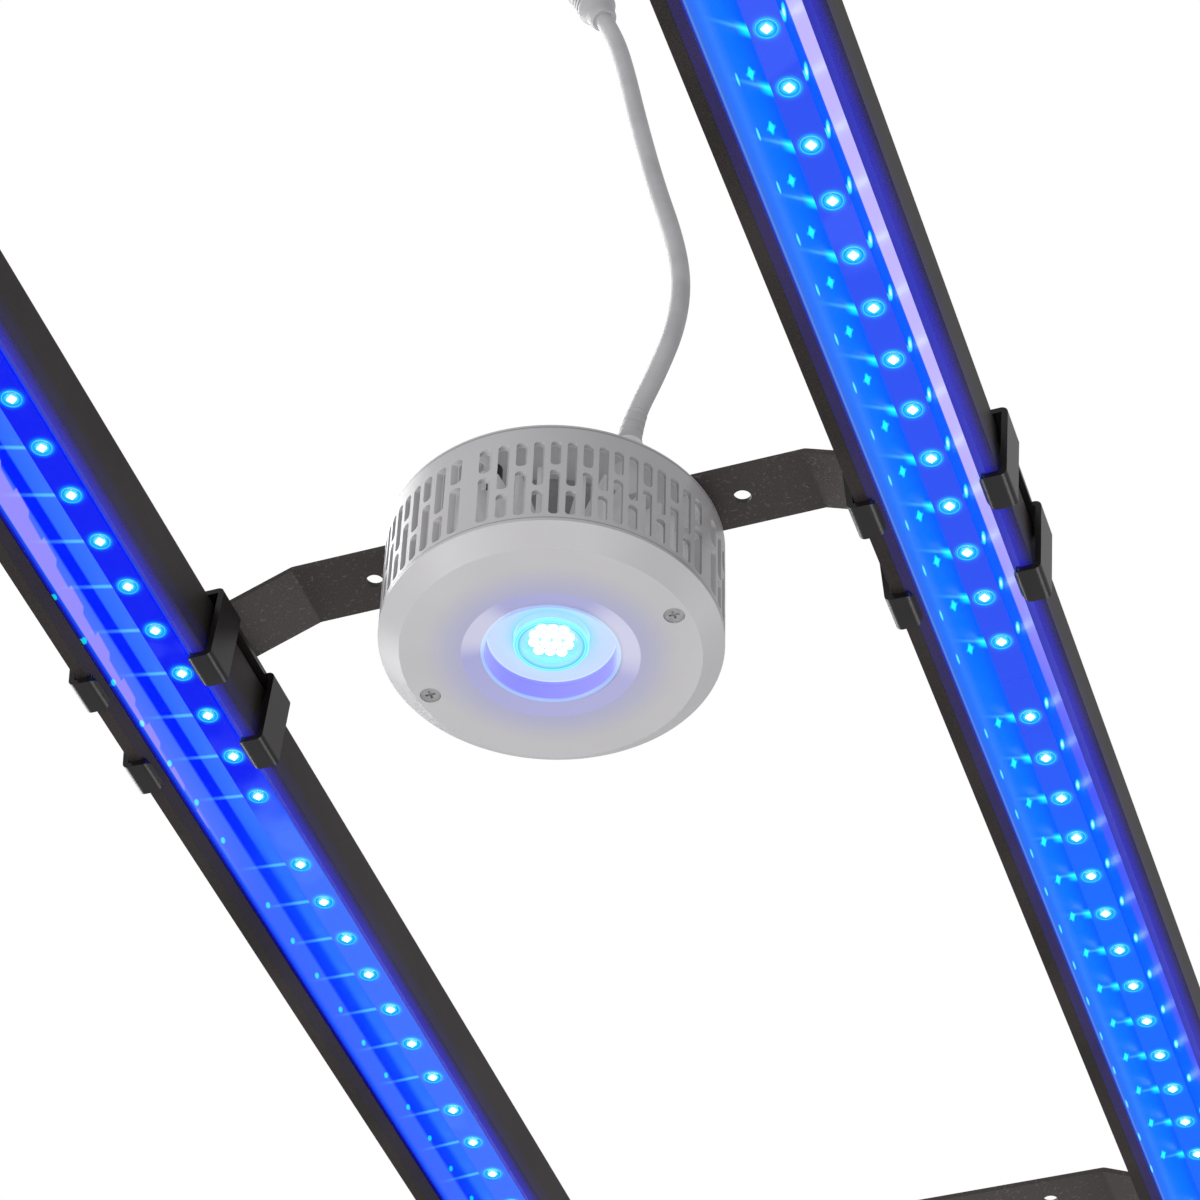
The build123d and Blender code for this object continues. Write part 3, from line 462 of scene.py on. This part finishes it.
# ---- Reflectors ----------------------------------------------------------------------------------
# Bright rolled aluminium walls on both sides of the boards. Their blue light and their reflections
# of the row of LEDs are painted on as glow: for each LED a painted fan at the board's edge, a painted
# streak across the wall and small painted glints for the broken images of its lens, which drift
# along the wall and away from the board as the row goes back. A lavender strip on the walls is a
# painted reflection of the white room.
for side in ("left", "right"):
    mirror, wire, skin = new_material(side + "_reflector_blue", base_color=(0.01, 0.02, 0.20), metallic=1.0,
                                      emission_strength=1.0)
    x, y, z = position(wire)
    across = x - bar_x[side]
    down = (-0.0235 - z) / 0.017
    middle = bar_middle[side]

    # glint gives soft spots of painted reflection, one for each LED's lens.
    def glint(slant, shift, centre, half_down, half_along):
        """1 in a soft spot on the wall for each LED and 0 outside it. The spot's middle is centre of
        the way down the wall and shift behind its LED, and it leans forward by slant down the wall."""
        a = (down - centre) / half_down
        b = from_led(y + slant * (down - centre) - shift, middle) / half_along
        return (a * a + b * b).rise(1.0, 0.3)

    streak_slant = 0.0225 if side == "right" else 0.0205
    line = abs(from_led(y + streak_slant * down + 0.0006, middle)).rise(0.0013, 0.0001)
    fan = abs(from_led(y + streak_slant * down, middle)).rise(0.0034, 0.0006) * down.rise(0.24, 0.02)
    if side == "right":
        # Right bar: painted blue glow on the near wall; strip and pale make a painted lavender reflection of
        # the room on the far wall, narrowing towards the rear; the streak, fan and spots are painted
        # reflections of the LEDs.
        near = down.ramp((0.0, (0.003, 0.12, 1.0)), (0.3, (0.001, 0.175, 1.0)), (0.52, (0.006, 0.185, 0.97)),
                         (0.70, (0.035, 0.225, 0.92)), (0.82, (0.02, 0.18, 0.80)), (0.93, (0.04, 0.16, 0.66)),
                         (0.96, (0.10, 0.30, 0.60)), (1.0, (0.03, 0.035, 0.37)))
        strip = (down - 0.36 - 0.7 * (y + 0.30)).rise(0.0, 0.03)
        pale = y.rise(-0.26, -0.06).between((0.60, 0.50, 0.84), (0.07, 0.08, 0.90))
        far = strip.between((0.001, 0.10, 0.95), pale)
        behind_first = y - (middle - board_module - 6 * pitch)
        image_at = 0.07 + 0.3 * behind_first
        creep = wire.math("MAXIMUM", 0.0035 - 0.080 * (y + 0.288), -0.0065 - 0.031 * (y + 0.099))
        first, second = 0.25 + 0.5 * behind_first, 0.54 + 0.78 * behind_first
        painted_reflections_near = (line * down.rise(0.80, 0.10)).dye((0.05, 0.24, 0.15)).plus(
            fan.dye((0.0, 0.80, 0.35)),
            glint(0.0, creep, first, 0.060, 0.0030).dye((0.01, 0.75, 0.4)),
            glint(0.010, creep, first, 0.120, 0.0013).dye((0.01, 0.50, 0.3)),
            glint(0.0, creep - 0.0030, second, 0.028, 0.0030).dye((0.10, 0.75, 0.4)))
        lead_by = -0.0039 - 0.009 * behind_first
        painted_reflections_far = glint(0.030, lead_by, image_at, 0.15, 0.0028).dye((0.05, 0.85, 0.5)).plus(
            glint(0.030, lead_by, image_at, 0.06, 0.0014).dye((0.9, 0.4, 0.2)))
    else:
        # Left bar: painted blue glow on both walls, changing tone towards the rear; pale marks a painted
        # lavender reflection of the room on the near wall, stepped at each LED; the streaks and dots are
        # painted reflections of the LEDs.
        rear = y.rise(-0.16, -0.08)
        near_front = down.ramp(
            (0.0, (0.050, 0.19, 0.98)), (0.30, (0.030, 0.155, 0.97)), (0.34, (0.0, 0.013, 0.97)),
            (0.52, (0.0, 0.012, 0.97)), (0.57, (0.06, 0.170, 0.97)), (0.85, (0.10, 0.19, 0.95)),
            (0.90, (0.16, 0.25, 0.92)), (0.94, (0.008, 0.10, 0.89)), (1.0, (0.008, 0.010, 0.45)))
        near_rear = down.ramp(
            (0.0, (0.030, 0.17, 0.98)), (0.20, (0.024, 0.17, 0.97)), (0.32, (0.0, 0.06, 0.98)),
            (0.50, (0.0, 0.035, 0.98)), (0.57, (0.045, 0.155, 0.98)), (0.85, (0.055, 0.14, 0.97)),
            (0.90, (0.025, 0.13, 0.97)), (0.95, (0.006, 0.07, 0.90)), (1.0, (0.006, 0.004, 0.30)))
        step = from_led(y + 0.004, middle).rise(-0.0012, 0.0012)
        pale = (down - 2.4 * (y + 0.27) - 0.07 * step).rise(0.60, 0.63) * down.rise(0.935, 0.925)
        near = pale.between(rear.between(near_front, near_rear), (0.34, 0.29, 0.86))
        far_front = down.ramp((0.0, (0.008, 0.055, 0.86)), (0.5, (0.015, 0.12, 0.86)),
                              (0.8, (0.03, 0.15, 0.75)), (1.0, (0.006, 0.004, 0.46)))
        far = rear.between(far_front, (0.065, 0.19, 0.86))
        dot_at = 0.90 - 1.6 * (y + 0.19)
        painted_reflections_near = (line * down.rise(0.95, 0.25)).dye((0.04, 0.20, 0.1)).plus(
            (line * down.rise(0.50, 0.10)).dye((0.03, 0.20, 0.1)),
            glint(0.0, 0.0045, dot_at, 0.055, 0.0017).dye((0.0, 0.65, 0.2)))
        painted_reflections_far = glint(0.0, 0.0052, 0.60, 0.20, 0.0030).dye((0.08, 0.70, 0.2))
    positive = across.rise(-0.001, 0.001)
    wire.feed(skin["Emission Color"], positive.between(near.plus(painted_reflections_near), far.plus(painted_reflections_far)))
    wire.feed(skin["Roughness"], 0.26 + 0.12 * wire.noise(60.0))
    coat(mirror, side + "_bar_reflector")


# ---- Windows -------------------------------------------------------------------------------------
# Clear acrylic strips slid into the housings under the LEDs. They are polished, and pick up a
# faint sheen of the room.
window, wire, skin = new_material("window_clear", ior=1.49)
wire.feed(skin["Base Color"], (0.02, 0.03, 0.08))
wire.feed(skin["Roughness"], 0.03 + 0.05 * wire.noise(12.0))
sheen = wire.node("LayerWeight", {}, {"Blend": 0.5}, "Facing")
through = wire.node("BsdfTransparent", {}, {"Color": (0.97, 0.98, 1.0)})
gloss = Wire(wire.tree, wire.tree.nodes["Principled BSDF"].outputs[0])
mixed = wire.node("MixShader", {}, {0: 0.015 + 0.4 * sheen.rise(0.6, 1.0), 1: through, 2: gloss})
wire.feed(wire.tree.nodes["Material Output"].inputs["Surface"], mixed)
coat(window, "left_bar_window", "right_bar_window")


# ---- Spot lamp housing ---------------------------------------------------------------------------
# Case, lid, bezel and knobs are moulded light grey ABS with a fine satin texture. Round the mouth
# the lamp's own blue light on the bezel is painted, as a bluer, darker base colour and a blue glow
# that fades out over its face, with painted highlights on the mouth's bevel and a painted cyan
# glint at the bore's lip. The inside of the case is given a faint painted grey glow so that the
# slots look light.
lamp_y = -0.204


def from_axis(wire):
    """Distance from the spot lamp's axis, and Z."""
    x, y, z = position(wire)
    y = y - lamp_y
    return wire.math("SQRT", x * x + y * y), z


satin, wire, skin = new_material("satin_grey", ior=1.5, emission_strength=1.0)
fine, cloud = wire.noise(2600.0, 2.0), wire.noise(20.0)
away, z = from_axis(wire)
low = z.rise(-0.0440, -0.0470)
bore = away.rise(0.0222, 0.0214)
seam = (z.rise(-0.0472, -0.0475) * z.rise(-0.0479, -0.0476)
        + z.rise(-0.0069, -0.0072) * z.rise(-0.0077, -0.0074))
spill, mouth = away.rise(0.042, 0.0270), away.rise(0.0286, 0.0282)
x, y, _ = position(wire)
painted_highlight = (x / away).rise(0.70, 1.0) + ((lamp_y - y - x) / away).rise(1.20, 1.41)
painted_inner_glow = away.rise(0.0534, 0.0531) * z.rise(-0.0470, -0.0440)
# Near the mouth the base colour is darkened and tinted blue, and the bore walls purple: painted light from
# the lamp.
grey = cloud.rise(0.3, 0.7).between((0.425, 0.417, 0.425), (0.455, 0.447, 0.455))
face = (low * spill).between(grey, (0.35, 0.35, 0.43))
walls = (low * bore).between(face, (0.16, 0.13, 0.40))
wire.feed(skin["Base Color"], (0.6 * seam).between(walls, (0.10, 0.10, 0.11)))
wire.feed(skin["Roughness"], 0.26 + 0.12 * fine)
wire.feed(skin["Normal"], wire.bump(fine, 0.00004))
painted_lip_glint = away.rise(0.0225, 0.0219) * away.rise(0.0209, 0.0212)
# Emission: painted blue glow round the mouth and in the bore, painted highlights on the mouth's bevel, a
# painted cyan glint at the bore's lip and a faint painted grey glow inside the case.
wire.feed(skin["Emission Color"], (low * spill).dye((0.0, 0.0, 0.08)).plus(
    painted_inner_glow.dye((0.13, 0.13, 0.132)), (low * mouth).dye((0.0, 0.0, 0.10)),
    (low * mouth * painted_highlight).dye((0.20, 0.20, 0.10)),
    (low * bore).dye((0.15, 0.15, 0.40)), (low * painted_lip_glint).dye((0.02, 0.22, 0.20))))
coat(satin, "lamp_case", "lamp_lid", "bezel", "colour_knob", "dimmer_knob", "cord_gland")


# ---- Bezel screws --------------------------------------------------------------------------------
# Two recessed screws of darker grey plated steel hold the bezel to the heat sink's posts.
screw_grey, wire, skin = new_material("screw_grey", metallic=0.6)
cloud = wire.noise(500.0)
wire.feed(skin["Base Color"], cloud.rise(0.3, 0.7).between((0.30, 0.30, 0.31), (0.36, 0.36, 0.37)))
wire.feed(skin["Roughness"], 0.55 + 0.2 * cloud)
coat(screw_grey, "bezel_screws")


# ---- Heat sink and LED carrier -------------------------------------------------------------------
# A die-cast ring of 40 fins, left bare and slightly dull, seen only through the slots of the case.
# The fins are given a faint painted grey glow so that the slots look light, and the LED carrier a
# painted blue glow from the lamp's LEDs.
cast, wire, skin = new_material("cast_alloy", metallic=0.2, emission_strength=1.0)
cloud, grain = wire.noise(90.0), wire.noise(900.0)
wire.feed(skin["Base Color"], cloud.rise(0.3, 0.7).between((0.34, 0.34, 0.35), (0.44, 0.44, 0.45)))
wire.feed(skin["Roughness"], 0.45 + 0.2 * grain)
# Painted light: a faint grey glow on the fins.
wire.feed(skin["Emission Color"], cloud.between((0.15, 0.15, 0.152), (0.19, 0.19, 0.192)))
wire.feed(skin["Normal"], wire.bump(grain, 0.00008))
coat(cast, "heat_sink")
mask_white, wire, skin = new_material("solder_mask_white", emission_strength=1.0)
cloud = wire.noise(300.0)
wire.feed(skin["Base Color"], cloud.between((0.70, 0.74, 0.80), (0.80, 0.84, 0.90)))
wire.feed(skin["Roughness"], 0.35 + 0.1 * cloud)
# Painted light: the carrier's blue glow from the LEDs.
wire.feed(skin["Emission Color"], cloud.between((0.05, 0.4, 1.0), (0.1, 0.5, 1.0)))
coat(mask_white, "led_carrier")


# ---- Light plate, lens and LED cluster -----------------------------------------------------------
# A frosted plate closes the mouth and glows pale blue. In its middle a clear dome stands over a
# cluster of 14 small chips, ringed with cyan where the dome's edge carries the light.
glow_plate, wire, skin = new_material("glow_plate", base_color=(0.16, 0.20, 0.30), emission_strength=1.0)
away, _ = from_axis(wire)
shade = (away / 0.021).ramp((0.0, (0.10, 0.65, 1.0)), (0.56, (0.08, 0.55, 1.0)), (0.62, (0.28, 0.56, 0.95)),
                            (0.72, (0.40, 0.56, 0.93)), (0.95, (0.46, 0.55, 0.90)), (1.0, (0.50, 0.80, 0.90)))
wire.feed(skin["Emission Color"], shade)
wire.feed(skin["Roughness"], 0.35 + 0.15 * wire.noise(600.0))
coat(glow_plate, "light_plate")

dome, wire, skin = new_material("lens_cyan", ior=1.49, emission_strength=1.0)
away, z = from_axis(wire)
face = z.rise(-0.0486, -0.0490)
shade = (away / 0.0121).ramp(
    (0.0, (0.10, 0.85, 0.95)), (0.60, (0.12, 0.75, 0.95)), (0.80, (0.30, 0.68, 0.95)),
    (0.86, (0.07, 0.38, 0.90)), (0.90, (0.22, 1.0, 1.0)), (0.935, (0.10, 0.50, 0.95)),
    (0.965, (0.25, 1.0, 1.0)), (1.0, (0.25, 0.95, 1.0)))
wire.feed(skin["Emission Color"], face.between((0.34, 0.55, 0.92), shade))
wire.feed(skin["Base Color"], (away / 0.0121).rise(0.8, 1.0).between((0.02, 0.10, 0.14), (0.05, 0.20, 0.25)))
wire.feed(skin["Roughness"], 0.10 + 0.06 * wire.noise(300.0))
through = wire.node("BsdfTransparent", {}, {"Color": (0.97, 1.0, 1.0)})
gloss = Wire(wire.tree, wire.tree.nodes["Principled BSDF"].outputs[0])
solid = 0.96 - face * (0.50 - 0.5 * away.rise(0.0086, 0.0102))
mixed = wire.node("MixShader", {}, {0: solid, 1: through, 2: gloss})
wire.feed(wire.tree.nodes["Material Output"].inputs["Surface"], mixed)
angle = np.linspace(0, 2 * np.pi, 96, endpoint=False)
circle = np.stack([np.cos(angle), np.sin(angle), 0 * angle], -1)
profile = ((11.9, 43.9), (12.0, 44.0), (12.0, 49.3), (11.8, 49.7), (11.3, 49.9), (10.9, 49.75), (10.6, 49.9),
           (10.2, 49.8), (9.9, 49.5), (9.0, 49.9), (7.5, 50.5), (5.5, 51.0), (3.0, 51.3), (1.0, 51.4))
lens_rings = np.array([r * circle - (0, 0, h) for r, h in profile]) * 0.001
lens_disc = add_piece("spot_lens", *joined(lens_rings, [(0.0, lamp_y, 0.0)]), dome, "spot_lamp", "lens_glass")
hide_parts("dome_lens")

# The dome makes the chips look larger and nearer, so each is a small bright bead behind its face.
cluster, wire, skin = new_material("cluster_light", base_color=(0.8, 0.95, 1.0), emission_strength=8.0)
wire.feed(skin["Emission Color"], wire.noise(1200.0).between((0.9, 1.0, 1.0), (1.0, 1.0, 1.0)))
bead = np.array([r * circle[::8] - (0, 0, h) for r, h in
                 ((0.9, 46.4), (1.5, 46.6), (1.72, 47.1), (1.5, 47.6), (0.9, 47.8))]) * 0.001
rows = {-5.2: 3, -1.75: 4, 1.75: 4, 5.2: 3}
chips = np.array([((n - (count - 1) / 2) * 3.65, row) for row, count in rows.items() for n in range(count)])
turn = np.radians(24)
chips = 0.001 * chips @ np.array([(np.cos(turn), np.sin(turn)), (-np.sin(turn), np.cos(turn))])
places = np.column_stack([chips[:, 0], lamp_y + chips[:, 1], 0 * chips[:, 0]])
beads = add_piece("led_beads", *joined(bead, places), cluster, "spot_lamp", "led_blue")
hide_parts("led_cluster")


# ---- Driver board --------------------------------------------------------------------------------
# A glass-epoxy board with a pale solder mask, its chips and chokes and the two potentiometers stand
# under the lid.
epoxy, wire, skin = new_material("epoxy_pale", roughness=0.4)
weave = wire.noise(700.0)
wire.feed(skin["Base Color"], weave.between((0.30, 0.31, 0.30), (0.40, 0.41, 0.39)))
coat(epoxy, "driver_board")
parts, wire, skin = new_material("component_black", ior=1.5)
cloud = wire.noise(400.0)
wire.feed(skin["Base Color"], cloud.between((0.02, 0.02, 0.022), (0.06, 0.06, 0.065)))
wire.feed(skin["Roughness"], 0.35 + 0.25 * cloud)
coat(parts, "driver_components", "dimmer_potentiometer", "colour_potentiometer")


# ---- Hanging stud --------------------------------------------------------------------------------
# An M8 stud of plated steel. Its thread is rolled: the radius falls and rises once per 1.25 mm of
# height, and the crest climbs round the stud.
thread_pitch, stud_radius = 0.00125, 0.0040
heights = np.arange(-0.0324, 0.0109, thread_pitch / 6)
angle = np.linspace(0, 2 * np.pi, 36, endpoint=False)
height, angle = np.meshgrid(heights, angle, indexing="ij")
phase = np.abs(((height / thread_pitch - angle / (2 * np.pi)) % 1.0) * 2 - 1)
ends = np.minimum(1, np.minimum(height - heights[0], heights[-1] - height) / 0.0008)
radius = stud_radius - 0.0006 * phase - 0.0007 * (1 - ends)
stud_points = np.stack([radius * np.cos(angle), lamp_y + radius * np.sin(angle), height], -1)
stud = add_piece("threaded_stud", *joined(stud_points), zinc, "spot_lamp", "steel")
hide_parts("hanging_stud")


# ---- Plug contacts -------------------------------------------------------------------------------
# Turned brass pins inside the coupling ring, slightly tarnished.
brass, wire, skin = new_material("brass_pins", metallic=1.0)
cloud = wire.noise(600.0)
wire.feed(skin["Base Color"], cloud.rise(0.3, 0.7).between((0.62, 0.42, 0.16), (0.78, 0.58, 0.26)))
wire.feed(skin["Roughness"], 0.2 + 0.2 * cloud)
coat(brass, "plug_contacts")
